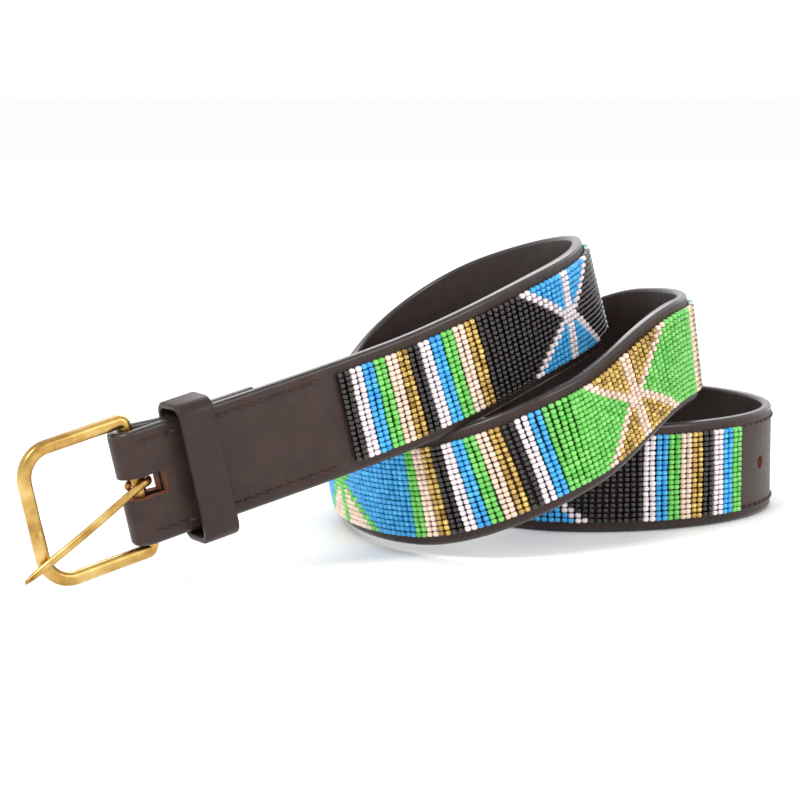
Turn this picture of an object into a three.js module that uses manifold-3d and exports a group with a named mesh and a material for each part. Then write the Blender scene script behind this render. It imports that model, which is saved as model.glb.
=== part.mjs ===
// A leather belt with a field of seed beads, standing on its edges in a loose coil of
// three turns, with its buckle at the front left. Millimetres, +Z up, seen along +Y.
import * as THREE from 'three';
import { mergeVertices } from 'three/addons/utils/BufferGeometryUtils.js';
import Module from 'manifold-3d';

const wasm = await Module();
wasm.setup();

// Strap
const STRAP_WIDTH = 35;
const STRAP_THICKNESS = 3.3;
const EDGE_BEVEL = 0.5;
const BARE_START = 74;
const TAIL_LENGTH = 160;
const TIP_LENGTH = 22;
const TAB_LENGTH = 48;
const TAB_LAYS_FLAT_AT = 18;
const LAYER_GAP = 0.3;
const STRAP_STEP = 5.5;

// Punched holes in the tail, counted from the last bead column
const HOLE_COUNT = 5;
const HOLE_DIAMETER = 4.5;
const HOLE_PITCH = 25;
const FIRST_HOLE = 15;

// Bead field: columns across the strap, laid in stripes and crossed diamonds
const COLUMN_PITCH = 2.2;
const BEAD_LENGTH = 1.68;
const BEADS_IN_COLUMN = 17;
const BEAD_HEIGHT = 2.0;
const GROOVE_HEIGHT = 1.35;
const BEAD_SEAT_GAP = 0.3;
const MOTIFS = 6;
const MOTIF_COLUMNS = 36;
const STRIPE_COLUMNS = 2;
const STRIPES_BEFORE_MOTIF = 12;
const END_STRIPES = 9;

// Buckle frame, lying in a plane through its bar
const BAR_RADIUS = 2.0;
const BAR_CLEARANCE = 0.4;
const FRAME_REACH = 34.5;
const FRAME_SIDE_CLEARANCE = 0.6;
const FRAME_HALF_BREADTH = 2.1;
const FRAME_HALF_DEPTH = 1.8;
const FRAME_NOSE_RADIUS = 9;
const FRAME_HEEL_RADIUS = 2;
const NOTCH_LENGTH = 9;
const NOTCH_DEPTH = 0.5;

// Prong, hooked round the bar in the slot of the fold and dropped aslant over the frame
const PRONG_HALF_BREADTH = 1.3;
const PRONG_HALF_DEPTH = 1.0;
const PRONG_BAR_GAP = 0.3;
const PRONG_REST_GAP = 0.3;
const PRONG_OVERRUN = 6;
const PRONG_SLANT_DEG = 21;
const PRONG_ARCH = 0.7;
const PRONG_HOOK_DEG = 230;
const PRONG_ROOT_OFFSET = 0.8;
const SLOT_WIDTH = 6.8;
const SLOT_END = 12.5;

// Keeper: a leather loop round the strap and its turned-back tab
const KEEPER_AT = 24;
const KEEPER_WIDTH = 11.5;
const KEEPER_THICKNESS = 2.0;
const KEEPER_FRONT_GAP = 4.0;
const KEEPER_SIDE_GAP = 2.2;
const KEEPER_BACK_GAP = 0.3;
const KEEPER_BEND_RADIUS = 3.2;
const KEEPER_BEVEL = 0.4;

// Path of the strap's lower edge. along is a share of the belt's length from the fold,
// heading the way it runs in plan (degrees), rise the edge's height as a share of the
// strap's width, and lean how far the turn tips to the left (degrees).
const ROUTE = [
  { along: 0.00, heading: 31, rise: 0.40, lean: 0 },
  { along: 0.09, heading: 29, rise: 1.04, lean: 0 },
  { along: 0.15, heading: 56, rise: 1.56, lean: 4 },
  { along: 0.20, heading: 89, rise: 1.70, lean: 14 },
  { along: 0.26, heading: 147, rise: 1.40, lean: 14 },
  { along: 0.32, heading: 234, rise: 0.48, lean: 12 },
  { along: 0.36, heading: 264, rise: 0.15, lean: 12 },
  { along: 0.40, heading: 286, rise: 0.05, lean: 12 },
  { along: 0.44, heading: 318, rise: 0.08, lean: 12 },
  { along: 0.50, heading: 400, rise: 0.61, lean: 8 },
  { along: 0.56, heading: 429, rise: 1.15, lean: 7 },
  { along: 0.62, heading: 484, rise: 1.08, lean: 8 },
  { along: 0.65, heading: 522, rise: 0.76, lean: 6 },
  { along: 0.68, heading: 567, rise: 0.24, lean: 4 },
  { along: 0.71, heading: 606, rise: 0.02, lean: 2 },
  { along: 0.75, heading: 656, rise: 0, lean: 0 },
  { along: 0.80, heading: 722, rise: 0, lean: 0 },
  { along: 0.86, heading: 777, rise: 0, lean: 0 },
  { along: 0.91, heading: 840, rise: 0, lean: 0 },
  { along: 0.95, heading: 880, rise: 0, lean: 0 },
  { along: 1.00, heading: 900, rise: 0, lean: 0 },
];

// Lengths that follow from the sizes above
const COLUMNS = MOTIFS * (STRIPES_BEFORE_MOTIF * STRIPE_COLUMNS + MOTIF_COLUMNS)
  + END_STRIPES * STRIPE_COLUMNS;
const BEADS_END = BARE_START + COLUMNS * COLUMN_PITCH;
const BELT_LENGTH = BEADS_END + TAIL_LENGTH;
const FIELD_HALF_WIDTH = (BEADS_IN_COLUMN * BEAD_LENGTH) / 2;
const FOLD_INNER_RADIUS = BAR_RADIUS + BAR_CLEARANCE;
const FOLD_MID_RADIUS = FOLD_INNER_RADIUS + STRAP_THICKNESS / 2;
const BAR_ALONG = FOLD_INNER_RADIUS + STRAP_THICKNESS;
const BAR_OUT = -(STRAP_THICKNESS + FOLD_INNER_RADIUS);
const STRAP_MID_OUT = -STRAP_THICKNESS / 2;
const TAB_MID_OUT = -(1.5 * STRAP_THICKNESS + LAYER_GAP);

const rad = THREE.MathUtils.degToRad;

// Value of one column of the route at a share of the length, on a smooth curve
// through the rows.
function routeValue(column, share) {
  const last = ROUTE.length - 1;
  let row = 0;
  while (row < last - 1 && share > ROUTE[row + 1].along) row += 1;
  const span = (i) => ROUTE[i + 1].along - ROUTE[i].along;
  const slope = (i) => (ROUTE[i + 1][column] - ROUTE[i][column]) / span(i);
  const tangent = (i) => {
    if (i === 0) return slope(0);
    if (i === last) return slope(last - 1);
    const [before, after] = [slope(i - 1), slope(i)];
    const limit = before * after > 0 ? 3 * Math.min(Math.abs(before), Math.abs(after)) : 0;
    const mean = (before * span(i) + after * span(i - 1)) / (span(i - 1) + span(i));
    return THREE.MathUtils.clamp(mean, -limit, limit);
  };
  const h = span(row);
  const t = (share - ROUTE[row].along) / h;
  return (2 * t ** 3 - 3 * t ** 2 + 1) * ROUTE[row][column]
    + (t ** 3 - 2 * t ** 2 + t) * h * tangent(row)
    + (3 * t ** 2 - 2 * t ** 3) * ROUTE[row + 1][column]
    + (t ** 3 - t ** 2) * h * tangent(row + 1);
}

// Stations a millimetre or so apart: the outer face's middle, and the directions
// along the strap, up across its width and out of its face.
function layStations() {
  const count = Math.ceil(BELT_LENGTH);
  const step = BELT_LENGTH / count;
  const edge = new THREE.Vector3();
  const stations = [];
  let previous = null;
  for (let i = 0; i <= count; i += 1) {
    const share = i / count;
    const near = Math.min(Math.max(share, 1 / count), 1 - 1 / count);
    const climb = (routeValue('rise', near + 1 / count) - routeValue('rise', near - 1 / count))
      * STRAP_WIDTH / (2 * step);
    const level = Math.sqrt(1 - climb ** 2);
    const heading = rad(routeValue('heading', share));
    const along = new THREE.Vector3(Math.cos(heading) * level, Math.sin(heading) * level, climb);
    const lean = rad(routeValue('lean', share));
    const across = new THREE.Vector3(-Math.sin(lean), 0, Math.cos(lean));
    across.addScaledVector(along, -across.dot(along)).normalize();
    const out = new THREE.Vector3().crossVectors(along, across);
    if (previous) {
      edge.x += (along.x + previous.x) * step / 2;
      edge.y += (along.y + previous.y) * step / 2;
    }
    edge.z = routeValue('rise', share) * STRAP_WIDTH;
    const middle = edge.clone().addScaledVector(across, STRAP_WIDTH / 2);
    stations.push({ middle, along, across, out });
    previous = along;
  }
  return stations;
}

const stations = layStations();

// The frame of directions at a length along the strap.
function frameAt(length) {
  const place = THREE.MathUtils.clamp(length / BELT_LENGTH, 0, 1) * (stations.length - 1);
  const i = Math.min(Math.floor(place), stations.length - 2);
  const mix = (name) => stations[i][name].clone().lerp(stations[i + 1][name], place - i);
  return {
    middle: mix('middle'),
    along: mix('along').normalize(),
    across: mix('across').normalize(),
    out: mix('out').normalize(),
  };
}

// A point of the strap: length along it, width up from its middle, and height out of
// its outer face.
function strapPoint(length, width, height) {
  const { middle, across, out } = frameAt(length);
  return middle.addScaledVector(across, width).addScaledVector(out, height);
}

// A point of the buckle: reach away from the bar, width along the bar, and height out
// of the frame's plane.
function bucklePoint(reach, width, height) {
  const { middle, along, across, out } = frameAt(BAR_ALONG);
  return middle
    .addScaledVector(along, -reach)
    .addScaledVector(across, width)
    .addScaledVector(out, height + BAR_OUT);
}

// A solid skinned over rings of equal point counts, looped or capped at both ends.
function skin(rings, looped) {
  const size = rings[0].length;
  const position = rings.flat().flatMap((point) => [point.x, point.y, point.z]);
  const index = [];
  const spans = looped ? rings.length : rings.length - 1;
  for (let r = 0; r < spans; r += 1) {
    const next = (r + 1) % rings.length;
    for (let k = 0; k < size; k += 1) {
      const k2 = (k + 1) % size;
      index.push(r * size + k, next * size + k, next * size + k2);
      index.push(r * size + k, next * size + k2, r * size + k2);
    }
  }
  if (!looped) {
    const far = (rings.length - 1) * size;
    for (let k = 1; k < size - 1; k += 1) {
      index.push(0, k, k + 1);
      index.push(far, far + k + 1, far + k);
    }
  }
  const geometry = new THREE.BufferGeometry();
  geometry.setAttribute('position', new THREE.Float32BufferAttribute(position, 3));
  geometry.setIndex(index);
  return geometry;
}

// Corners of a bevelled rectangle, as [side, thickness] pairs.
function bevelledSection(halfSide, halfThickness, bevel) {
  const b = Math.min(bevel, halfSide / 2, halfThickness / 2);
  return [
    [halfSide, -halfThickness + b], [halfSide - b, -halfThickness],
    [-halfSide + b, -halfThickness], [-halfSide, -halfThickness + b],
    [-halfSide, halfThickness - b], [-halfSide + b, halfThickness],
    [halfSide - b, halfThickness], [halfSide, halfThickness - b],
  ];
}

// Points of an ellipse, as [side, thickness] pairs.
function ellipseSection(halfSide, halfThickness, sides) {
  return Array.from({ length: sides }, (_, k) => {
    const turn = (-2 * Math.PI * (k + 0.5)) / sides;
    return [halfSide * Math.cos(turn), halfThickness * Math.sin(turn)];
  });
}

function toManifold(geometry) {
  const bare = geometry.clone();
  bare.deleteAttribute('normal');
  bare.deleteAttribute('uv');
  const merged = mergeVertices(bare, 1e-5);
  return new wasm.Manifold(new wasm.Mesh({
    numProp: 3,
    vertProperties: new Float32Array(merged.attributes.position.array),
    triVerts: new Uint32Array(merged.index.array),
  }));
}

function toGeometry(manifold) {
  const mesh = manifold.getMesh();
  const geometry = new THREE.BufferGeometry();
  geometry.setAttribute('position', new THREE.Float32BufferAttribute(mesh.vertProperties, 3));
  geometry.setIndex(Array.from(mesh.triVerts));
  return geometry;
}

// Half the strap's width at a length along it: full, then rounded off at the tip.
function halfWidthAt(length) {
  const into = (length - (BELT_LENGTH - TIP_LENGTH)) / TIP_LENGTH;
  return (STRAP_WIDTH / 2) * Math.sqrt(1 - Math.max(into, 0) ** 2);
}

// The strap's mid layer as [length, height] pairs: up the turned-back tab, round the
// bar, and along the outer layer to the tip.
function strapCourse() {
  const course = [];
  const tabPoints = 4;
  for (let i = 0; i < tabPoints; i += 1) {
    course.push([THREE.MathUtils.lerp(TAB_LENGTH, TAB_LAYS_FLAT_AT, i / tabPoints), TAB_MID_OUT]);
  }
  const easePoints = 6;
  for (let i = 0; i < easePoints; i += 1) {
    const t = i / easePoints;
    const ease = THREE.MathUtils.smoothstep(t, 0, 1);
    course.push([
      THREE.MathUtils.lerp(TAB_LAYS_FLAT_AT, BAR_ALONG, t),
      THREE.MathUtils.lerp(TAB_MID_OUT, BAR_OUT - FOLD_MID_RADIUS, ease),
    ]);
  }
  const foldPoints = 10;
  for (let i = 0; i < foldPoints; i += 1) {
    const turn = Math.PI * (i / foldPoints);
    course.push([
      BAR_ALONG - FOLD_MID_RADIUS * Math.sin(turn),
      BAR_OUT - FOLD_MID_RADIUS * Math.cos(turn),
    ]);
  }
  const straightEnd = BELT_LENGTH - TIP_LENGTH;
  const steps = Math.round((straightEnd - BAR_ALONG) / STRAP_STEP);
  for (let i = 0; i < steps; i += 1) {
    course.push([THREE.MathUtils.lerp(BAR_ALONG, straightEnd, i / steps), STRAP_MID_OUT]);
  }
  const tipPoints = 8;
  const tipTurn = rad(84);
  for (let i = 0; i <= tipPoints; i += 1) {
    course.push([straightEnd + TIP_LENGTH * Math.sin(tipTurn * (i / tipPoints)), STRAP_MID_OUT]);
  }
  return course;
}

function makeStrap() {
  const course = strapCourse();
  const rings = course.map(([length, height], i) => {
    const [lengthA, heightA] = course[Math.max(i - 1, 0)];
    const [lengthB, heightB] = course[Math.min(i + 1, course.length - 1)];
    const run = new THREE.Vector2(lengthB - lengthA, heightB - heightA).normalize();
    const section = bevelledSection(halfWidthAt(length), STRAP_THICKNESS / 2, EDGE_BEVEL);
    return section.map(([side, thick]) => (
      strapPoint(length - thick * run.y, side, height + thick * run.x)));
  });
  let solid = toManifold(skin(rings, false));

  const slotDepth = 2 * (FOLD_MID_RADIUS + STRAP_THICKNESS);
  const slotLength = 2 * SLOT_END;
  const slot = placedTool(new THREE.BoxGeometry(slotLength, SLOT_WIDTH, slotDepth), 0, BAR_OUT);
  solid = solid.subtract(toManifold(slot));

  for (let i = 0; i < HOLE_COUNT; i += 1) {
    const punch = new THREE.CylinderGeometry(
      HOLE_DIAMETER / 2, HOLE_DIAMETER / 2, 3 * STRAP_THICKNESS, 12);
    punch.rotateX(Math.PI / 2);
    const at = BEADS_END + FIRST_HOLE + i * HOLE_PITCH;
    solid = solid.subtract(toManifold(placedTool(punch, at, STRAP_MID_OUT)));
  }
  return toGeometry(solid);
}

// A cutting tool with its X along the strap, Y across it and Z out of its face.
function placedTool(geometry, length, height) {
  const { along, across, out } = frameAt(length);
  const place = new THREE.Matrix4().makeBasis(along, across, out);
  place.setPosition(strapPoint(length, 0, height));
  return geometry.applyMatrix4(place);
}

// The bead field as one band, with a rib for each column of beads.
function makeBeadPanel() {
  const rings = [];
  for (let i = 0; i <= 2 * COLUMNS; i += 1) {
    const length = BARE_START + (i * COLUMN_PITCH) / 2;
    const top = i % 2 === 0 ? GROOVE_HEIGHT : BEAD_HEIGHT;
    rings.push([
      strapPoint(length, FIELD_HALF_WIDTH, BEAD_SEAT_GAP),
      strapPoint(length, -FIELD_HALF_WIDTH, BEAD_SEAT_GAP),
      strapPoint(length, -FIELD_HALF_WIDTH, top),
      strapPoint(length, FIELD_HALF_WIDTH, top),
    ]);
  }
  return skin(rings, false);
}

// A closed round of straight sides and rounded corners, as { point, side } where side
// points out of the round. corners holds [x, y, radius] going anticlockwise.
function roundedLoop(corners, arcPoints) {
  const loop = [];
  corners.forEach(([x, y, radius], i) => {
    const before = corners[(i + corners.length - 1) % corners.length];
    const incoming = new THREE.Vector2(x - before[0], y - before[1]).normalize();
    const start = Math.atan2(-incoming.x, incoming.y);
    const centre = new THREE.Vector2(x, y)
      .addScaledVector(incoming, -radius)
      .add(new THREE.Vector2(-incoming.y, incoming.x).multiplyScalar(radius));
    for (let k = 0; k <= arcPoints; k += 1) {
      const turn = start + (Math.PI / 2) * (k / arcPoints);
      const side = new THREE.Vector2(Math.cos(turn), Math.sin(turn));
      loop.push({ point: centre.clone().addScaledVector(side, radius), side });
    }
  });
  return loop;
}

function makeKeeper() {
  const half = KEEPER_THICKNESS / 2;
  const front = KEEPER_FRONT_GAP + half;
  const back = -(2 * STRAP_THICKNESS + LAYER_GAP + KEEPER_BACK_GAP + half);
  const edge = STRAP_WIDTH / 2 + KEEPER_SIDE_GAP + half;
  const radius = KEEPER_BEND_RADIUS;
  const loop = roundedLoop(
    [[-edge, back, radius], [edge, back, radius], [edge, front, radius], [-edge, front, radius]],
    6,
  );
  const rings = loop.map(({ point, side }) => (
    bevelledSection(KEEPER_WIDTH / 2, half, KEEPER_BEVEL).map(([run, thick]) => (
      strapPoint(KEEPER_AT + run, point.x + side.x * thick, point.y + side.y * thick)))));
  return skin(rings, true);
}

function makeBuckleFrame() {
  const edge = STRAP_WIDTH / 2 + FRAME_SIDE_CLEARANCE + FRAME_HALF_BREADTH;
  const loop = roundedLoop([
    [0, -edge, FRAME_HEEL_RADIUS], [FRAME_REACH, -edge, FRAME_NOSE_RADIUS],
    [FRAME_REACH, edge, FRAME_NOSE_RADIUS], [0, edge, FRAME_HEEL_RADIUS],
  ], 6);
  const noseStart = loop.findIndex(({ point }) => (
    point.x > FRAME_REACH - 0.01 && point.y > -edge + FRAME_NOSE_RADIUS - 0.01));
  const notchSteps = 6;
  const notch = Array.from({ length: notchSteps + 1 }, (_, k) => ({
    point: new THREE.Vector2(FRAME_REACH, NOTCH_LENGTH * (k / notchSteps - 0.5)),
    side: new THREE.Vector2(1, 0),
  }));
  loop.splice(noseStart + 1, 0, ...notch);
  const sides = 10;
  const rings = loop.map(({ point, side }) => {
    const onBar = THREE.MathUtils.smoothstep(point.x, 0, FRAME_HEEL_RADIUS);
    const inNotch = Math.max(0, 1 - Math.abs(2 * point.y / NOTCH_LENGTH) ** 2);
    const dip = point.x > FRAME_REACH - 0.01 ? NOTCH_DEPTH * inNotch : 0;
    const breadth = THREE.MathUtils.lerp(BAR_RADIUS, FRAME_HALF_BREADTH, onBar);
    const depth = THREE.MathUtils.lerp(BAR_RADIUS, FRAME_HALF_DEPTH, onBar) - dip;
    return ellipseSection(breadth, depth, sides).map(([wide, thick]) => (
      bucklePoint(point.x + side.x * wide, point.y + side.y * wide, thick)));
  });
  return skin(rings, true);
}

function makeProng() {
  const hookRadius = BAR_RADIUS + PRONG_BAR_GAP + PRONG_HALF_DEPTH;
  const restHeight = FRAME_HALF_DEPTH + PRONG_REST_GAP + PRONG_HALF_DEPTH;
  const slant = Math.tan(rad(PRONG_SLANT_DEG));
  const length = FRAME_REACH + FRAME_HALF_BREADTH + PRONG_OVERRUN;
  const course = [];
  const hookPoints = 12;
  for (let i = 0; i < hookPoints; i += 1) {
    const turn = rad(PRONG_HOOK_DEG) * (1 - i / hookPoints);
    course.push({
      reach: -hookRadius * Math.sin(turn), height: hookRadius * Math.cos(turn), size: 1,
    });
  }
  const shankPoints = 14;
  for (let i = 0; i <= shankPoints; i += 1) {
    const t = i / shankPoints;
    const settle = THREE.MathUtils.smoothstep(t, 0, 1);
    course.push({
      reach: length * t,
      height: THREE.MathUtils.lerp(hookRadius, restHeight, settle)
        + PRONG_ARCH * Math.sin(Math.PI * t) ** 2,
      size: t > 0.8 ? Math.sqrt(1 - ((t - 0.8) / 0.22) ** 2) : 1,
    });
  }
  const rings = course.map(({ reach, height, size }, i) => {
    const a = course[Math.max(i - 1, 0)];
    const b = course[Math.min(i + 1, course.length - 1)];
    const run = new THREE.Vector2(b.reach - a.reach, b.height - a.height).normalize();
    const width = PRONG_ROOT_OFFSET - slant * Math.max(reach, 0);
    const section = ellipseSection(PRONG_HALF_BREADTH * size, PRONG_HALF_DEPTH * size, 8);
    return section.map(([side, thick]) => (
      bucklePoint(reach - thick * run.y, width - side, height + thick * run.x)));
  });
  return skin(rings, false);
}

const belt = new THREE.Group();

function addPart(name, geometry, colour, roughness, metalness) {
  geometry.computeVertexNormals();
  const material = new THREE.MeshStandardMaterial({ color: colour, roughness, metalness });
  const mesh = new THREE.Mesh(geometry, material);
  mesh.name = name;
  belt.add(mesh);
}

addPart('strap', makeStrap(), 0x2b1a15, 0.5, 0);
addPart('bead_panel', makeBeadPanel(), 0x46aee0, 0.25, 0);
addPart('keeper', makeKeeper(), 0x33211a, 0.45, 0);
addPart('buckle_frame', makeBuckleFrame(), 0xb8924a, 0.25, 1);
addPart('prong', makeProng(), 0xb8924a, 0.3, 1);

// Stand the belt on the ground, centred over the origin.
const bounds = new THREE.Box3().setFromObject(belt, true);
const centre = bounds.getCenter(new THREE.Vector3());
belt.position.set(-centre.x, -centre.y, -bounds.min.z);
belt.updateMatrixWorld(true);

export default belt;
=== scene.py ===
"""A leather belt faced with seed beads, standing on its edges in a loose coil.

Sizes are in millimetres until a mesh is made, and the belt's own frame is the CAD's.
"""
import math

import bpy
import numpy as np
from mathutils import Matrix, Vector


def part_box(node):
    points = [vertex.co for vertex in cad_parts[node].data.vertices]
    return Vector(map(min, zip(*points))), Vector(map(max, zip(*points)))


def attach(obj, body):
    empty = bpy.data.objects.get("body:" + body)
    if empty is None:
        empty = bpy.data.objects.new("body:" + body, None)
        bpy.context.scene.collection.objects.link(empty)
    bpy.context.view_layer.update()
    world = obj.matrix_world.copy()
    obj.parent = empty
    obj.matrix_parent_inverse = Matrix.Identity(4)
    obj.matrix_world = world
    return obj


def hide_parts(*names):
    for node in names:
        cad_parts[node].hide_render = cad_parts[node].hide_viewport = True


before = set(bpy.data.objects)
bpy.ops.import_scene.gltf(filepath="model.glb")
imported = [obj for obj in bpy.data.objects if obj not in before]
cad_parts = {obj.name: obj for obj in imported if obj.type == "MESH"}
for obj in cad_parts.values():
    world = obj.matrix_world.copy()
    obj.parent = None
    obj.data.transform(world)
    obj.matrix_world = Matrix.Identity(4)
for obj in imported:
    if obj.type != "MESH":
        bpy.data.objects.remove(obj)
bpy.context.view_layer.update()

METRE = 0.001
RANDOM = np.random.default_rng(7)

# Strap
STRAP_WIDTH = 35.0
STRAP_THICKNESS = 3.3
EDGE_RADIUS = 1.15
BARE_START = 74.0
TAIL_LENGTH = 160.0
TIP_LENGTH = 22.0
TAB_LENGTH = 48.0
TAB_LAYS_FLAT_AT = 18.0
LAYER_GAP = 0.3
STRAP_STEP = 2.2
HOLE_COUNT = 5
HOLE_RADIUS = 2.25
HOLE_PITCH = 25.0
FIRST_HOLE = 15.0
TAB_RINGS = 14
TAB_EASE_RINGS = 12
FOLD_RINGS = 20
TIP_RINGS = 25
TIP_SWEEP_DEG = 84.0
PUNCH_SIDES = 28

# Bead field, with the heights of the CAD band's floor, valleys and ridges off the strap
PANEL_FLOOR = 0.3
PANEL_VALLEY = 1.35
PANEL_RIDGE = 2.0
COLUMN_PITCH = 2.2
BEAD_PITCH = 1.68
BEADS_IN_COLUMN = 17
BEAD_RADIUS = 1.02
BEAD_HALF_LENGTH = 0.81
BEAD_HOLE_RADIUS = 0.36
BEAD_SEAT = 1.12
BEAD_SIDES = 9
MOTIFS = 6
MOTIF_COLUMNS = 36
MOTIF_TAPER_COLUMNS = 9
STRIPE_COLUMNS = 2
STRIPES_BEFORE_MOTIF = 12
END_STRIPES = 9

# Buckle frame
BAR_RADIUS = 2.0
BAR_CLEARANCE = 0.4
FRAME_REACH = 34.5
FRAME_SIDE_CLEARANCE = 0.6
FRAME_HALF_BREADTH = 2.1
FRAME_HALF_DEPTH = 1.8
FRAME_NOSE_RADIUS = 9.0
FRAME_HEEL_RADIUS = 2.0
NOTCH_LENGTH = 9.0
NOTCH_DEPTH = 0.5
NOTCH_RINGS = 17
FRAME_CORNER_POINTS = 16
FRAME_SIDES = 24
FRAME_SQUARENESS = 0.6

# Prong
PRONG_HALF_BREADTH = 1.3
PRONG_HALF_DEPTH = 1.0
PRONG_BAR_GAP = 0.3
PRONG_REST_GAP = 0.3
PRONG_OVERRUN = 6.0
PRONG_SLANT_DEG = 21.0
PRONG_ARCH = 0.7
PRONG_HOOK_DEG = 230.0
PRONG_ROOT_OFFSET = 0.8
PRONG_TAPER_FROM = 0.8
PRONG_TAPER_SPAN = 0.22
HOOK_RINGS = 28
SHANK_RINGS = 49
PRONG_SIDES = 16
SLOT_WIDTH = 6.8
SLOT_END = 12.5

# Keeper
KEEPER_AT = 24.0
KEEPER_WIDTH = 11.5
KEEPER_THICKNESS = 2.0
KEEPER_FRONT_GAP = 4.0
KEEPER_SIDE_GAP = 2.2
KEEPER_BACK_GAP = 0.3
KEEPER_BEND_RADIUS = 3.2
KEEPER_CORNER_POINTS = 14
KEEPER_EDGE_RADIUS = 0.7

# Stitches
STITCH_LENGTH = 3.0
STITCH_PITCH = 3.7
STITCH_RADIUS = 0.5
STITCH_INSET = 3.6
STITCH_RINGS = 7
STITCH_SIDES = 7
STITCH_LIFT = 0.32
STITCH_SINK = 0.12
TIP_STITCHES = 11

# Camera
CAMERA_TARGET = (-0.0085, 0.0188, 0.0410)
CAMERA_ELEVATION_DEG = 8.4
CAMERA_LENS = 136.1
CAMERA_SENSOR = 36

# Path of the strap's lower edge: along is a share of the belt's length from the fold,
# heading its direction in plan (degrees), rise the edge's height as a share of the
# strap's width, and lean how far the turn tips to the left (degrees).
ROUTE_COLUMNS = ("along", "heading", "rise", "lean")
ROUTE = (
    (0.00, 31, 0.40, 0),
    (0.09, 29, 1.04, 0),
    (0.15, 56, 1.56, 4),
    (0.20, 89, 1.70, 14),
    (0.26, 147, 1.40, 14),
    (0.32, 234, 0.48, 12),
    (0.36, 264, 0.15, 12),
    (0.40, 286, 0.05, 12),
    (0.44, 318, 0.08, 12),
    (0.50, 400, 0.61, 8),
    (0.56, 429, 1.15, 7),
    (0.62, 484, 1.08, 8),
    (0.65, 522, 0.76, 6),
    (0.68, 567, 0.24, 4),
    (0.71, 606, 0.02, 2),
    (0.75, 656, 0.00, 0),
    (0.80, 722, 0.00, 0),
    (0.86, 777, 0.00, 0),
    (0.91, 840, 0.00, 0),
    (0.95, 880, 0.00, 0),
    (1.00, 900, 0.00, 0),
)

# The bead colours in the order in which the stripes take them.
COLOURS = ("black", "white", "blue", "green", "cream", "gold")
MOTIF_FIELDS = ("black", "white", "blue", "green", "cream", "black")

# Lengths that follow from the sizes above
STRIPES_WIDTH = STRIPES_BEFORE_MOTIF * STRIPE_COLUMNS
UNIT_COLUMNS = STRIPES_WIDTH + MOTIF_COLUMNS
COLUMNS = MOTIFS * UNIT_COLUMNS + END_STRIPES * STRIPE_COLUMNS
BEADS_END = BARE_START + COLUMNS * COLUMN_PITCH
BELT_LENGTH = BEADS_END + TAIL_LENGTH
FIELD_HALF_WIDTH = BEADS_IN_COLUMN * BEAD_PITCH / 2
FOLD_INNER_RADIUS = BAR_RADIUS + BAR_CLEARANCE
FOLD_MID_RADIUS = FOLD_INNER_RADIUS + STRAP_THICKNESS / 2
BAR_ALONG = FOLD_INNER_RADIUS + STRAP_THICKNESS
BAR_OUT = -(STRAP_THICKNESS + FOLD_INNER_RADIUS)
STRAP_MID_OUT = -STRAP_THICKNESS / 2
TAB_MID_OUT = -(1.5 * STRAP_THICKNESS + LAYER_GAP)


def smoothstep(t):
    """Eases from 0 to 1 as t does."""
    t = np.clip(t, 0, 1)
    return t * t * (3 - 2 * t)


def unit(vectors):
    return vectors / np.linalg.norm(vectors, axis=-1, keepdims=True)


def route_value(column, share):
    """One column of the route at shares of the length, on a smooth curve through its rows."""
    table = np.array(ROUTE, float)
    along = table[:, 0]
    value = table[:, ROUTE_COLUMNS.index(column)]
    span = np.diff(along)
    slope = np.diff(value) / span
    before, after = slope[:-1], slope[1:]
    mean = (before * span[1:] + after * span[:-1]) / (span[1:] + span[:-1])
    limit = np.where(before * after > 0, 3 * np.minimum(abs(before), abs(after)), 0)
    tangent = np.concatenate([slope[:1], np.clip(mean, -limit, limit), slope[-1:]])
    row = np.clip(np.searchsorted(along, share) - 1, 0, len(along) - 2)
    t = (share - along[row]) / span[row]
    return ((2 * t**3 - 3 * t**2 + 1) * value[row]
            + (t**3 - 2 * t**2 + t) * span[row] * tangent[row]
            + (3 * t**2 - 2 * t**3) * value[row + 1]
            + (t**3 - t**2) * span[row] * tangent[row + 1])


def lay_stations():
    """The outer face's middle and the along, across and out directions, about every mm."""
    count = math.ceil(BELT_LENGTH)
    step = BELT_LENGTH / count
    share = np.arange(count + 1) / count
    near = np.clip(share, 1 / count, 1 - 1 / count)
    climb = route_value("rise", near + 1 / count) - route_value("rise", near - 1 / count)
    climb = climb * STRAP_WIDTH / (2 * step)
    level = np.sqrt(1 - climb**2)
    heading = np.radians(route_value("heading", share))
    along = np.stack([np.cos(heading) * level, np.sin(heading) * level, climb], 1)
    lean = np.radians(route_value("lean", share))
    across = np.stack([-np.sin(lean), 0 * lean, np.cos(lean)], 1)
    across = unit(across - along * (across * along).sum(1, keepdims=True))
    out = np.cross(along, across)
    edge = np.zeros((count + 1, 3))
    edge[1:, :2] = np.cumsum((along[1:, :2] + along[:-1, :2]) * step / 2, axis=0)
    edge[:, 2] = route_value("rise", share) * STRAP_WIDTH
    return edge + across * STRAP_WIDTH / 2, along, across, out


STATIONS = lay_stations()


def frame_at(length):
    """Middle, along, across and out at lengths along the strap."""
    last = len(STATIONS[0]) - 1
    place = np.clip(np.asarray(length, float) / BELT_LENGTH, 0, 1) * last
    i = np.minimum(place.astype(int), last - 1)
    mix = (place - i)[..., None]
    values = [column[i] * (1 - mix) + column[i + 1] * mix for column in STATIONS]
    return values[0], unit(values[1]), unit(values[2]), unit(values[3])


def strap_point(length, width, height):
    """Points at lengths along the strap, widths up from its middle, heights off its face."""
    length, width, height = np.broadcast_arrays(
        np.asarray(length, float), np.asarray(width, float), np.asarray(height, float))
    middle, _, across, out = frame_at(length)
    return middle + across * width[..., None] + out * height[..., None]


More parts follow.
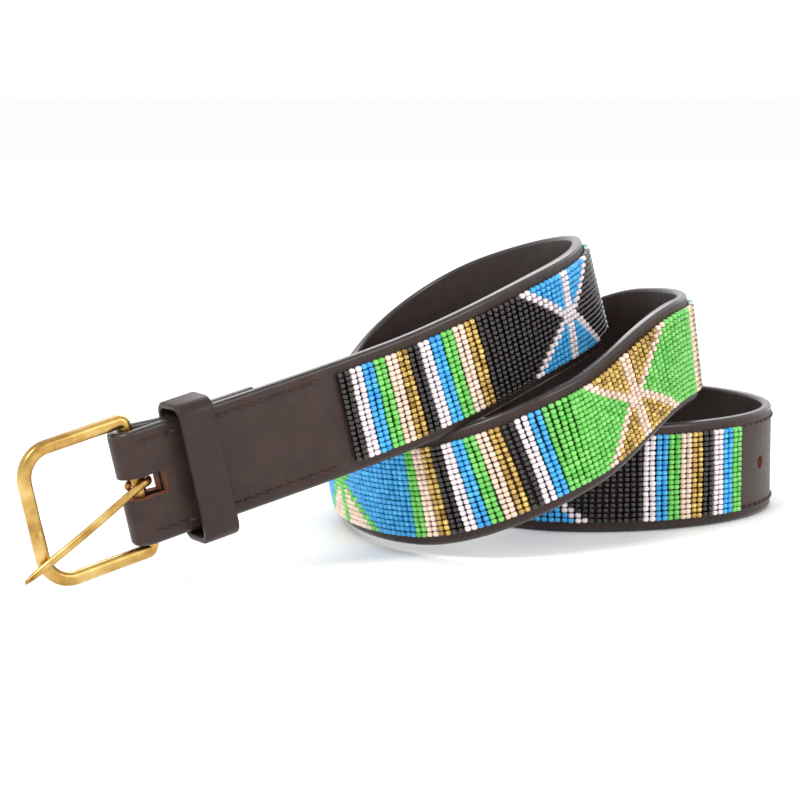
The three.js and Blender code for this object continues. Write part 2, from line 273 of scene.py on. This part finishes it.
def buckle_point(reach, width, height):
    """Points at reaches away from the bar, widths along it, heights off the frame's plane."""
    reach, width, height = np.broadcast_arrays(
        np.asarray(reach, float), np.asarray(width, float), np.asarray(height, float))
    middle, along, across, out = frame_at(BAR_ALONG)
    return (middle - along * reach[..., None] + across * width[..., None]
            + out * (height[..., None] + BAR_OUT))


def cad_offset():
    """From the belt's own frame to the CAD's, by the lowest corner of the bead band."""
    length = BARE_START + np.arange(2 * COLUMNS + 1) * COLUMN_PITCH / 2
    top = np.where(np.arange(2 * COLUMNS + 1) % 2 == 0, PANEL_VALLEY, PANEL_RIDGE)
    rings = [strap_point(length, side * FIELD_HALF_WIDTH, height)
             for side in (-1, 1) for height in (PANEL_FLOOR, top)]
    lowest = np.concatenate(rings).min(axis=0)
    return np.array(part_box("bead_panel")[0]) / METRE - lowest


OFFSET = cad_offset()


def add_piece(name, mesh, body, materials):
    """A mesh as a piece of the object that rides on a body."""
    for material in materials:
        mesh.materials.append(material)
    piece = bpy.data.objects.new(name, mesh)
    bpy.context.scene.collection.objects.link(piece)
    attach(piece, body)
    return piece


def mesh_from(name, points, faces, material_index=None, smooth=True):
    """A mesh of points in the belt's frame, in millimetres, and faces of any size."""
    mesh = bpy.data.meshes.new(name)
    mesh.from_pydata(((np.asarray(points) + OFFSET) * METRE).tolist(), [], faces)
    if material_index is not None:
        mesh.polygons.foreach_set("material_index", material_index)
    mesh.polygons.foreach_set("use_smooth", [smooth] * len(mesh.polygons))
    mesh.update()
    return mesh


def skin(rings, looped, strip_material=None, cap_material=0):
    """Points and faces of a solid skinned over rings, looped or capped at both ends."""
    rings = np.asarray(rings)
    count, size = rings.shape[:2]
    faces = []
    index = []
    spans = count if looped else count - 1
    for r in range(spans):
        a, b = r * size, (r + 1) % count * size
        for k in range(size):
            k2 = (k + 1) % size
            faces.append((a + k, b + k, b + k2, a + k2))
            index.append(strip_material[k] if strip_material else 0)
    if not looped:
        faces.append(tuple(range(size)))
        faces.append(tuple(range((count - 1) * size, count * size))[::-1])
        index += [cap_material, cap_material]
    return rings.reshape(-1, 3), faces, index


def rounded_section(half_side, half_thickness, radius, corner_points=5):
    """Corners of a rounded rectangle as side and thickness."""
    radius = min(radius, half_side, half_thickness)
    points = []
    centres = ((1, -1, 0), (-1, -1, -90), (-1, 1, -180), (1, 1, -270))
    for side, thick, start in centres:
        for k in range(corner_points):
            turn = math.radians(start - 90 * k / (corner_points - 1))
            points.append((side * (half_side - radius) + radius * math.cos(turn),
                           thick * (half_thickness - radius) + radius * math.sin(turn)))
    return np.array(points)


def ellipse_section(half_side, half_thickness, sides, square=2.0):
    """Points of an ellipse, or of a squarer one, as side and thickness."""
    turn = -2 * math.pi * (np.arange(sides) + 0.5) / sides
    cosine, sine = np.cos(turn), np.sin(turn)
    power = 2 / square
    return np.stack([half_side * np.sign(cosine) * abs(cosine) ** power,
                     half_thickness * np.sign(sine) * abs(sine) ** power], 1)


# Materials


class Nodes:
    """A material's node tree, with short calls to add nodes and join them."""

    def __init__(self, name):
        self.material = bpy.data.materials.new(name)
        self.material.use_nodes = True
        self.tree = self.material.node_tree
        self.shader = self.tree.nodes["Principled BSDF"]

    def add(self, kind, values=None, **settings):
        node = self.tree.nodes.new(kind)
        for key, value in settings.items():
            setattr(node, key, value)
        for socket, value in (values or {}).items():
            node.inputs[socket].default_value = value
        return node

    def join(self, source, output, target, socket):
        self.tree.links.new(source.outputs[output], target.inputs[socket])

    def shade(self, **values):
        for socket, value in values.items():
            self.shader.inputs[socket.replace("_", " ")].default_value = value

    def noise(self, scale, detail=3.0, stretch=(1, 1, 1)):
        """Noise with features of about 1 / scale metres."""
        place = self.add("ShaderNodeTexCoord")
        mapping = self.add("ShaderNodeMapping", {"Scale": stretch})
        noise = self.add("ShaderNodeTexNoise", {"Scale": scale, "Detail": detail})
        self.join(place, "Object", mapping, "Vector")
        self.join(mapping, "Vector", noise, "Vector")
        return noise

    def colour_between(self, source, output, stops, socket="Base Color"):
        """Feeds a colour input from a ramp of (position, colour) stops."""
        ramp = self.add("ShaderNodeValToRGB")
        elements = ramp.color_ramp.elements
        elements[0].position, elements[0].color = stops[0][0], (*stops[0][1], 1)
        elements[1].position, elements[1].color = stops[-1][0], (*stops[-1][1], 1)
        for position, colour in stops[1:-1]:
            elements.new(position).color = (*colour, 1)
        self.join(source, output, ramp, "Fac")
        self.join(ramp, "Color", self.shader, socket)
        return ramp

    def value_between(self, source, output, low, high, socket):
        """Feeds a number input from a value between 0 and 1."""
        spread = self.add("ShaderNodeMapRange", {"To Min": low, "To Max": high})
        self.join(source, output, spread, "Value")
        self.join(spread, "Result", self.shader, socket)

    def bump(self, source, output, strength, distance, under=None):
        bump = self.add("ShaderNodeBump", {"Strength": strength, "Distance": distance})
        self.join(source, output, bump, "Height")
        if under is not None:
            self.join(under, "Normal", bump, "Normal")
        self.join(bump, "Normal", self.shader, "Normal")
        return bump


def linear(red, green, blue):
    """A colour read off the photograph (0 to 255) as scene-linear values."""
    return tuple(((c / 255 + 0.055) / 1.055) ** 2.4 for c in (red, green, blue))


def leather(name, dark, light, rough, grain):
    """Finished leather: mottled dye, fine pores and a soft shine."""
    nodes = Nodes(name)
    mottle = nodes.noise(160, 5)
    nodes.colour_between(mottle, "Fac", [(0.3, dark), (0.72, light)])
    sheen = nodes.noise(420, 4)
    nodes.value_between(sheen, "Fac", rough - 0.08, rough + 0.12, "Roughness")
    pores = nodes.add("ShaderNodeTexVoronoi", {"Scale": 1700.0})
    place = nodes.add("ShaderNodeTexCoord")
    nodes.join(place, "Object", pores, "Vector")
    fine = nodes.bump(pores, "Distance", grain, 0.00012)
    creases = nodes.noise(520, 6, (1, 1, 0.35))
    nodes.bump(creases, "Fac", grain * 0.8, 0.0003, fine)
    nodes.shade(Specular_IOR_Level=0.28)
    return nodes.material


def bead_glass(name, dark, light, rough, coat, metallic=0.0):
    """Seed bead glass: each bead's own tint between two colours, under a clear gloss."""
    nodes = Nodes(name)
    tint = nodes.add("ShaderNodeAttribute", attribute_name="tint")
    nodes.colour_between(tint, "Fac", [(0.0, dark), (1.0, light)])
    nodes.shade(Roughness=rough, Coat_Weight=coat, Coat_Roughness=0.06, Metallic=metallic)
    wave = nodes.noise(900, 2)
    nodes.bump(wave, "Fac", 0.15, 0.0002)
    return nodes.material


def brass(name, rough):
    """Polished brass with fine scratches. Its colour is mottled in large patches between darker
    and lighter brass: painted reflection, the dark reflections and bright highlights of polished
    metal put into the base colour.
    """
    nodes = Nodes(name)
    painted_reflection_patches = nodes.noise(110, 5)
    # Painted reflection: these darker and lighter brass patches stand in for the metal's
    # reflections and highlights.
    nodes.colour_between(painted_reflection_patches, "Fac", [
        (0.28, linear(136, 98, 46)), (0.5, linear(190, 152, 84)), (0.75, linear(226, 196, 130))])
    scratches = nodes.noise(1500, 4, (1, 1, 6))
    nodes.value_between(scratches, "Fac", rough - 0.08, rough + 0.14, "Roughness")
    nodes.bump(scratches, "Fac", 0.12, 0.0001)
    nodes.shade(Metallic=1.0)
    return nodes.material


FACE = leather("strap_face", linear(50, 35, 31), linear(60, 44, 39), 0.42, 0.35)
EDGE = leather("strap_edge", linear(38, 29, 29), linear(54, 43, 43), 0.26, 0.12)
INSIDE = leather("strap_inside", linear(36, 24, 23), linear(50, 35, 33), 0.45, 0.25)
RAW = leather("cut_leather", linear(96, 52, 34), linear(140, 84, 58), 0.75, 0.6)
# The keeper's leather is a little darker than the strap's face: that extra darkness is painted
# shade, for a keeper that faces downward.
KEEPER_SHADED = leather("keeper_face_shaded", linear(44, 30, 28), linear(54, 38, 35), 0.36, 0.3)
THREAD = leather("thread", linear(44, 28, 24), linear(70, 48, 42), 0.5, 0.6)
BRASS = brass("brass", 0.24)
PRONG_BRASS = brass("prong_brass", 0.3)
EDGE.node_tree.nodes["Principled BSDF"].inputs["Coat Weight"].default_value = 0.5
EDGE.node_tree.nodes["Principled BSDF"].inputs["Coat Roughness"].default_value = 0.25

BEAD_GLASS = {
    "black": bead_glass("beads_black", linear(14, 9, 8), linear(30, 22, 19), 0.14, 0.5),
    "white": bead_glass("beads_white", linear(226, 212, 216), linear(250, 240, 243), 0.22, 0.2),
    "blue": bead_glass("beads_blue", linear(34, 146, 214), linear(82, 190, 240), 0.16, 0.2),
    "green": bead_glass("beads_green", linear(84, 182, 66), linear(136, 220, 112), 0.16, 0.2),
    "cream": bead_glass("beads_cream", linear(222, 192, 172), linear(250, 228, 210), 0.18, 0.3),
    "gold": bead_glass("beads_gold", linear(140, 104, 36), linear(238, 204, 118), 0.14, 0.4, 0.6),
}


# Leather


def strap_course():
    """The strap's mid layer as lengths and heights: tab, fold, and the outer layer."""
    course = [(TAB_LENGTH + (TAB_LAYS_FLAT_AT - TAB_LENGTH) * i / TAB_RINGS, TAB_MID_OUT)
              for i in range(TAB_RINGS)]
    for i in range(TAB_EASE_RINGS):
        t = i / TAB_EASE_RINGS
        ease = smoothstep(t)
        course.append((TAB_LAYS_FLAT_AT + (BAR_ALONG - TAB_LAYS_FLAT_AT) * t,
                       TAB_MID_OUT + (BAR_OUT - FOLD_MID_RADIUS - TAB_MID_OUT) * ease))
    for i in range(FOLD_RINGS):
        turn = math.pi * i / FOLD_RINGS
        course.append((BAR_ALONG - FOLD_MID_RADIUS * math.sin(turn),
                       BAR_OUT - FOLD_MID_RADIUS * math.cos(turn)))
    straight_end = BELT_LENGTH - TIP_LENGTH
    steps = round((straight_end - BAR_ALONG) / STRAP_STEP)
    course += [(BAR_ALONG + (straight_end - BAR_ALONG) * i / steps, STRAP_MID_OUT)
               for i in range(steps)]
    for i in range(TIP_RINGS):
        turn = math.radians(TIP_SWEEP_DEG) * i / (TIP_RINGS - 1)
        course.append((straight_end + TIP_LENGTH * math.sin(turn), STRAP_MID_OUT))
    return np.array(course)


def half_width_at(length):
    """Half the strap's width at a length, narrower along the rounded tip."""
    into = (length - (BELT_LENGTH - TIP_LENGTH)) / TIP_LENGTH
    return STRAP_WIDTH / 2 * math.sqrt(1 - max(into, 0) ** 2)


def cutter(mesh_name, length, height, points, faces):
    """A cutting tool with X along the strap, Y across it and Z out of its face."""
    _, along, across, out = frame_at(length)
    middle = strap_point(length, 0, height)
    placed = middle + np.asarray(points, float) @ np.stack([along, across, out])
    mesh = mesh_from(mesh_name, placed, faces, [3] * len(faces), smooth=False)
    for material in (FACE, EDGE, INSIDE, RAW):
        mesh.materials.append(material)
    tool = bpy.data.objects.new(mesh_name, mesh)
    bpy.context.scene.collection.objects.link(tool)
    return tool


def cut(piece, tools):
    """Subtracts the tools from the piece's mesh and removes them."""
    for tool in tools:
        subtract = piece.modifiers.new("cut", "BOOLEAN")
        subtract.operation = "DIFFERENCE"
        subtract.solver = "EXACT"
        subtract.object = tool
    bpy.context.view_layer.update()
    seen = piece.evaluated_get(bpy.context.evaluated_depsgraph_get())
    mesh = bpy.data.meshes.new_from_object(seen)
    piece.modifiers.clear()
    piece.data = mesh
    for tool in tools:
        bpy.data.objects.remove(tool)
    mesh.set_sharp_from_angle(angle=math.radians(50))


def box_tool(name, length, height, size):
    """A box that cuts, of a size along, across and out of the strap."""
    x, y, z = (side / 2 for side in size)
    points = [(a, b, c) for a in (-x, x) for b in (-y, y) for c in (-z, z)]
    faces = [(0, 1, 3, 2), (4, 6, 7, 5), (0, 4, 5, 1), (2, 3, 7, 6), (0, 2, 6, 4), (1, 5, 7, 3)]
    return cutter(name, length, height, points, faces)


def punch_tool(name, length):
    """A round punch through the strap's single layer."""
    sides = PUNCH_SIDES
    turns = 2 * math.pi * np.arange(sides) / sides
    reach = 1.5 * STRAP_THICKNESS
    points = [(HOLE_RADIUS * math.cos(t), HOLE_RADIUS * math.sin(t), z)
              for z in (-reach, reach) for t in turns]
    faces = [(k, (k + 1) % sides, sides + (k + 1) % sides, sides + k) for k in range(sides)]
    faces += [tuple(range(sides))[::-1], tuple(range(sides, 2 * sides))]
    return cutter(name, length, STRAP_MID_OUT, points, faces)


def make_strap():
    """The strap with its fold, tab, prong slot, rounded tip and punched holes."""
    course = strap_course()
    ahead = np.concatenate([course[1:], course[-1:]])
    behind = np.concatenate([course[:1], course[:-1]])
    run = unit(ahead - behind)
    rings = []
    for (length, height), (run_x, run_y) in zip(course, run):
        section = rounded_section(half_width_at(length), STRAP_THICKNESS / 2, EDGE_RADIUS)
        side, thick = section[:, 0], section[:, 1]
        rings.append(strap_point(length - thick * run_y, side, height + thick * run_x))
    strips = [1, 1, 1, 1, 2] + [1] * 5 + [1, 1, 1, 1, 0] + [1] * 5
    points, faces, index = skin(rings, False, strips, 1)
    mesh = mesh_from("strap_leather", points, faces, index)
    piece = add_piece("strap_leather", mesh, "belt", (FACE, EDGE, INSIDE, RAW))
    tools = [box_tool("slot_tool", 0, BAR_OUT, (
        2 * SLOT_END, SLOT_WIDTH, 2 * (FOLD_MID_RADIUS + STRAP_THICKNESS)))]
    tools += [punch_tool(f"punch_{i}", BEADS_END + FIRST_HOLE + i * HOLE_PITCH)
              for i in range(HOLE_COUNT)]
    cut(piece, tools)
    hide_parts("strap")
    return piece


def stitch_rings(length_a, width_a, length_b, width_b):
    """One stitch on the outer face, from a to b, with its ends sunk into the leather."""
    rings = []
    for i in range(STITCH_RINGS):
        t = i / (STITCH_RINGS - 1)
        length = length_a + (length_b - length_a) * t
        width = width_a + (width_b - width_a) * t
        lift = STITCH_LIFT * math.sin(math.pi * t) ** 0.6 - STITCH_SINK
        swell = 0.75 + 0.25 * math.sin(math.pi * t)
        middle, along, across, out = frame_at(length)
        run = unit(along * (length_b - length_a) + across * (width_b - width_a))
        side = np.cross(out, run)
        centre = middle + across * width + out * lift
        turns = 2 * math.pi * np.arange(STITCH_SIDES) / STITCH_SIDES
        rings.append([centre + STITCH_RADIUS * swell * (side * math.cos(a) + out * math.sin(a))
                      for a in turns])
    return rings


def stitch_lines():
    """Rows of stitches as (length, width) pairs of ends."""
    edge = STRAP_WIDTH / 2 - STITCH_INSET
    stitches = []

    def row(start, end, width):
        count = int((end - start) / STITCH_PITCH)
        for i in range(count):
            a = start + i * STITCH_PITCH
            stitches.append((a, width, a + STITCH_LENGTH, width))

    row(BAR_ALONG, BARE_START - 2, edge)
    row(BAR_ALONG, BARE_START - 2, -edge)
    row(BEADS_END + 3, BELT_LENGTH - TIP_LENGTH, edge)
    row(BEADS_END + 3, BELT_LENGTH - TIP_LENGTH, -edge)
    for i in range(TIP_STITCHES):
        turns = [math.radians(-90 + 180 * (i + part) / TIP_STITCHES) for part in (0.08, 0.9)]
        ends = []
        for turn in turns:
            ends += [BELT_LENGTH - TIP_LENGTH + (TIP_LENGTH - STITCH_INSET) * math.cos(turn),
                     edge * math.sin(turn)]
        stitches.append(tuple(ends))
    return stitches


def make_stitches():
    """All the stitches as one piece."""
    points, faces = [], []
    for ends in stitch_lines():
        own_points, own_faces, _ = skin(stitch_rings(*ends), False)
        base = len(points)
        points += own_points.tolist()
        faces += [tuple(base + i for i in face) for face in own_faces]
    mesh = mesh_from("stitches", points, faces)
    return add_piece("stitches", mesh, "belt", (THREAD,))


def rounded_loop(corners, arc_points):
    """Points and outward sides of a closed round of straight sides and rounded corners."""
    points, sides = [], []
    for i, (x, y, radius) in enumerate(corners):
        incoming = unit(np.array([x - corners[i - 1][0], y - corners[i - 1][1]]))
        start = math.atan2(-incoming[0], incoming[1])
        left = np.array([-incoming[1], incoming[0]])
        centre = np.array([x, y]) - incoming * radius + left * radius
        for k in range(arc_points + 1):
            turn = start + math.pi / 2 * k / arc_points
            side = np.array([math.cos(turn), math.sin(turn)])
            points.append(centre + side * radius)
            sides.append(side)
    return np.array(points), np.array(sides)


def make_keeper():
    """The leather loop that stands off both layers of the strap."""
    half = KEEPER_THICKNESS / 2
    front = KEEPER_FRONT_GAP + half
    back = -(2 * STRAP_THICKNESS + LAYER_GAP + KEEPER_BACK_GAP + half)
    edge = STRAP_WIDTH / 2 + KEEPER_SIDE_GAP + half
    radius = KEEPER_BEND_RADIUS
    points, sides = rounded_loop(
        [(-edge, back, radius), (edge, back, radius), (edge, front, radius),
         (-edge, front, radius)], KEEPER_CORNER_POINTS)
    section = rounded_section(KEEPER_WIDTH / 2, half, KEEPER_EDGE_RADIUS, 4)
    rings = [strap_point(KEEPER_AT + section[:, 0], point[0] + side[0] * section[:, 1],
                         point[1] + side[1] * section[:, 1])
             for point, side in zip(points, sides)]
    points, faces, _ = skin(rings, True)
    mesh = mesh_from("keeper_loop", points, faces)
    piece = add_piece("keeper_loop", mesh, "belt", (KEEPER_SHADED,))
    mesh.set_sharp_from_angle(angle=math.radians(60))
    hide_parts("keeper")
    return piece


# Beads


def bead_colour(column, row):
    """The colour of a bead, with rows counted from the strap's lower edge."""
    group, within = divmod(column, UNIT_COLUMNS)
    if group == MOTIFS:
        return COLOURS[(1 + within // STRIPE_COLUMNS) % len(COLOURS)]
    field = COLOURS.index(MOTIF_FIELDS[group])
    if within < STRIPES_WIDTH:
        return COLOURS[(field + within // STRIPE_COLUMNS) % len(COLOURS)]
    line, corner = (field + 1) % len(COLOURS), (field + 2) % len(COLOURS)
    from_bar = abs(within - STRIPES_WIDTH - (MOTIF_COLUMNS - 1) / 2) - 0.5
    if from_bar == 0:
        return COLOURS[line]
    if from_bar > MOTIF_TAPER_COLUMNS:
        return COLOURS[field]
    centre_row = (BEADS_IN_COLUMN - 1) // 2
    off_centre = abs(row - centre_row)
    if off_centre in (min(from_bar, centre_row), from_bar - 1):
        return COLOURS[line]
    return COLOURS[field] if off_centre < from_bar else COLOURS[corner]


def bead_form():
    """Points of one seed bead with its hole along Y, and its faces."""
    profile = np.array([
        (-BEAD_HALF_LENGTH, BEAD_HOLE_RADIUS), (-0.82 * BEAD_HALF_LENGTH, 0.79 * BEAD_RADIUS),
        (-0.38 * BEAD_HALF_LENGTH, BEAD_RADIUS), (0.38 * BEAD_HALF_LENGTH, BEAD_RADIUS),
        (0.82 * BEAD_HALF_LENGTH, 0.79 * BEAD_RADIUS), (BEAD_HALF_LENGTH, BEAD_HOLE_RADIUS)])
    turns = 2 * math.pi * np.arange(BEAD_SIDES) / BEAD_SIDES
    points = np.array([(r * math.cos(t), a, r * math.sin(t)) for t in turns for a, r in profile])
    size = len(profile)
    faces = []
    for s in range(BEAD_SIDES):
        a, b = s * size, (s + 1) % BEAD_SIDES * size
        for k in range(size):
            k2 = (k + 1) % size
            faces.append((a + k, a + k2, b + k2, b + k))
    return points, np.array(faces)


def make_beads(colour, places):
    """All the beads of one colour as one piece. places holds (column, row) pairs."""
    form, faces = bead_form()
    count = len(places)
    column, row = np.array(places).T
    length = BARE_START + (column + 0.5) * COLUMN_PITCH
    sway = 0.16 * np.sin(0.35 * row + 2.1 * column) * np.sin(1.7 * column)
    length = length + sway + RANDOM.normal(0, 0.055, count)
    width = (row - (BEADS_IN_COLUMN - 1) / 2) * BEAD_PITCH + RANDOM.normal(0, 0.04, count)
    height = BEAD_SEAT + RANDOM.normal(0, 0.04, count)
    _, along, across, out = frame_at(length)
    tip, turn = RANDOM.normal(0, 0.045, (2, count, 1))
    across = unit(across + along * tip + out * turn)
    along = unit(along - across * (along * across).sum(1, keepdims=True))
    out = np.cross(along, across)
    size = 1 + RANDOM.normal(0, 0.022, (count, 1, 1))
    axes = np.stack([along, across, out], 1)
    points = (form[None] * size) @ axes + strap_point(length, width, height)[:, None]
    points = ((points.reshape(-1, 3) + OFFSET) * METRE).astype(np.float32)
    quads = (faces[None] + np.arange(count)[:, None, None] * len(form)).reshape(-1, 4)
    mesh = bpy.data.meshes.new(f"beads_{colour}")
    mesh.vertices.add(len(points))
    mesh.vertices.foreach_set("co", points.ravel())
    mesh.loops.add(quads.size)
    mesh.loops.foreach_set("vertex_index", quads.ravel().astype(np.int32))
    mesh.polygons.add(len(quads))
    mesh.polygons.foreach_set("loop_start", np.arange(0, quads.size, 4, dtype=np.int32))
    mesh.polygons.foreach_set("use_smooth", np.ones(len(quads), bool))
    mesh.update(calc_edges=True)
    tint = np.repeat(np.clip(RANDOM.normal(0.5, 0.22, count), 0, 1), len(form))
    mesh.attributes.new("tint", "FLOAT", "POINT").data.foreach_set(
        "value", tint.astype(np.float32))
    return add_piece(f"beads_{colour}", mesh, "belt", (BEAD_GLASS[colour],))


def make_bead_field():
    """One piece for each colour of bead. The CAD band is hidden when the first is made."""
    places = {colour: [] for colour in COLOURS}
    for column in range(COLUMNS):
        for row in range(BEADS_IN_COLUMN):
            places[bead_colour(column, row)].append((column, row))
    for i, (colour, own) in enumerate(places.items()):
        piece = make_beads(colour, own)
        if i == 0:
            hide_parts("bead_panel")


# Brass


def make_buckle_frame():
    """The brass loop: a round bar in the fold, squarer sides, and a notch for the prong."""
    edge = STRAP_WIDTH / 2 + FRAME_SIDE_CLEARANCE + FRAME_HALF_BREADTH
    corners = [(0, -edge, FRAME_HEEL_RADIUS), (FRAME_REACH, -edge, FRAME_NOSE_RADIUS),
               (FRAME_REACH, edge, FRAME_NOSE_RADIUS), (0, edge, FRAME_HEEL_RADIUS)]
    points, sides = rounded_loop(corners, FRAME_CORNER_POINTS)
    nose = 2 * (FRAME_CORNER_POINTS + 1)
    across_notch = np.linspace(-0.5, 0.5, NOTCH_RINGS) * NOTCH_LENGTH
    notch = np.stack([np.full(NOTCH_RINGS, FRAME_REACH), across_notch], 1)
    points = np.insert(points, nose, notch, axis=0)
    sides = np.insert(sides, nose, np.tile([1.0, 0.0], (NOTCH_RINGS, 1)), axis=0)
    rings = []
    for point, side in zip(points, sides):
        on_bar = float(smoothstep(point[0] / FRAME_HEEL_RADIUS))
        in_notch = max(0, 1 - abs(2 * point[1] / NOTCH_LENGTH) ** 2)
        dip = NOTCH_DEPTH * in_notch if point[0] > FRAME_REACH - 0.01 else 0
        breadth = BAR_RADIUS + (FRAME_HALF_BREADTH - BAR_RADIUS) * on_bar
        depth = BAR_RADIUS + (FRAME_HALF_DEPTH - BAR_RADIUS) * on_bar - dip
        section = ellipse_section(breadth, depth, FRAME_SIDES, 2 + FRAME_SQUARENESS * on_bar)
        rings.append(buckle_point(point[0] + side[0] * section[:, 0],
                                  point[1] + side[1] * section[:, 0], section[:, 1]))
    points, faces, _ = skin(rings, True)
    mesh = mesh_from("buckle_brass", points, faces)
    piece = add_piece("buckle_brass", mesh, "buckle", (BRASS,))
    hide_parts("buckle_frame")
    return piece


def make_prong():
    """The prong, from the end of its hook behind the bar to its tapered tip."""
    hook_radius = BAR_RADIUS + PRONG_BAR_GAP + PRONG_HALF_DEPTH
    rest_height = FRAME_HALF_DEPTH + PRONG_REST_GAP + PRONG_HALF_DEPTH
    slant = math.tan(math.radians(PRONG_SLANT_DEG))
    length = FRAME_REACH + FRAME_HALF_BREADTH + PRONG_OVERRUN
    course = []
    for i in range(HOOK_RINGS):
        turn = math.radians(PRONG_HOOK_DEG) * (1 - i / HOOK_RINGS)
        course.append((-hook_radius * math.sin(turn), hook_radius * math.cos(turn), 1))
    for i in range(SHANK_RINGS):
        t = i / (SHANK_RINGS - 1)
        settle = smoothstep(t)
        height = (hook_radius + (rest_height - hook_radius) * settle
                  + PRONG_ARCH * math.sin(math.pi * t) ** 2)
        taper = max(t - PRONG_TAPER_FROM, 0) / PRONG_TAPER_SPAN
        size = math.sqrt(1 - taper ** 2)
        course.append((length * t, height, size))
    course = np.array(course)
    ahead = np.concatenate([course[1:], course[-1:]])
    behind = np.concatenate([course[:1], course[:-1]])
    run = unit((ahead - behind)[:, :2])
    rings = []
    for (reach, height, size), (run_x, run_y) in zip(course, run):
        section = ellipse_section(
            PRONG_HALF_BREADTH * size, PRONG_HALF_DEPTH * size, PRONG_SIDES)
        width = PRONG_ROOT_OFFSET - slant * max(reach, 0)
        rings.append(buckle_point(reach - section[:, 1] * run_y, width - section[:, 0],
                                  height + section[:, 1] * run_x))
    points, faces, _ = skin(rings, False)
    mesh = mesh_from("prong_brass", points, faces)
    piece = add_piece("prong_brass", mesh, "prong", (PRONG_BRASS,))
    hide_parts("prong")
    return piece


# Camera, floor and lights


def aim(thing, target):
    """Turns a camera or light towards a point."""
    direction = Vector(target) - thing.location
    thing.rotation_euler = direction.to_track_quat("-Z", "Y").to_euler()


def make_camera():
    """A camera one metre from its target, at the photograph's viewing angle."""
    elevation = math.radians(CAMERA_ELEVATION_DEG)
    target = CAMERA_TARGET
    camera = bpy.data.objects.new("camera", bpy.data.cameras.new("camera"))
    camera.data.sensor_width = CAMERA_SENSOR
    camera.data.lens = CAMERA_LENS
    camera.location = (target[0], target[1] - math.cos(elevation),
                       target[2] + math.sin(elevation))
    aim(camera, target)
    bpy.context.scene.collection.objects.link(camera)
    bpy.context.scene.camera = camera


def make_light(name, place, size, power):
    """A square area light aimed at the belt."""
    light = bpy.data.objects.new(name, bpy.data.lights.new(name, "AREA"))
    light.data.size = size
    light.data.energy = power
    light.location = place
    aim(light, (0, 0, 0.04))
    bpy.context.scene.collection.objects.link(light)


def make_studio():
    """A pale paper floor, a white world and three soft lights."""
    points = [(-3, -3, 0), (3, -3, 0), (3, 3, 0), (-3, 3, 0)]
    mesh = bpy.data.meshes.new("floor")
    mesh.from_pydata(points, [], [(0, 1, 2, 3)])
    paper = Nodes("floor_paper")
    paper.shade(Base_Color=(0.96, 0.96, 0.96, 1), Roughness=0.9)
    mesh.materials.append(paper.material)
    floor = bpy.data.objects.new("floor", mesh)
    floor.location = (0, 0, -0.0002)
    bpy.context.scene.collection.objects.link(floor)
    world = bpy.data.worlds.new("studio")
    bpy.context.scene.world = world
    world.use_nodes = True
    sky = world.node_tree.nodes["Background"]
    sky.inputs["Color"].default_value = (1.0, 1.0, 1.0, 1)
    sky.inputs["Strength"].default_value = 1.0
    make_light("key", (-0.5, -0.8, 1.0), 0.35, 7)
    make_light("fill", (1.0, -0.7, 0.5), 0.5, 3)
    make_light("rim", (0.1, 0.9, 0.9), 0.8, 6)
    bpy.context.scene.view_settings.view_transform = "Standard"


make_camera()
make_strap()
make_stitches()
make_keeper()
make_bead_field()
make_buckle_frame()
make_prong()
make_studio()
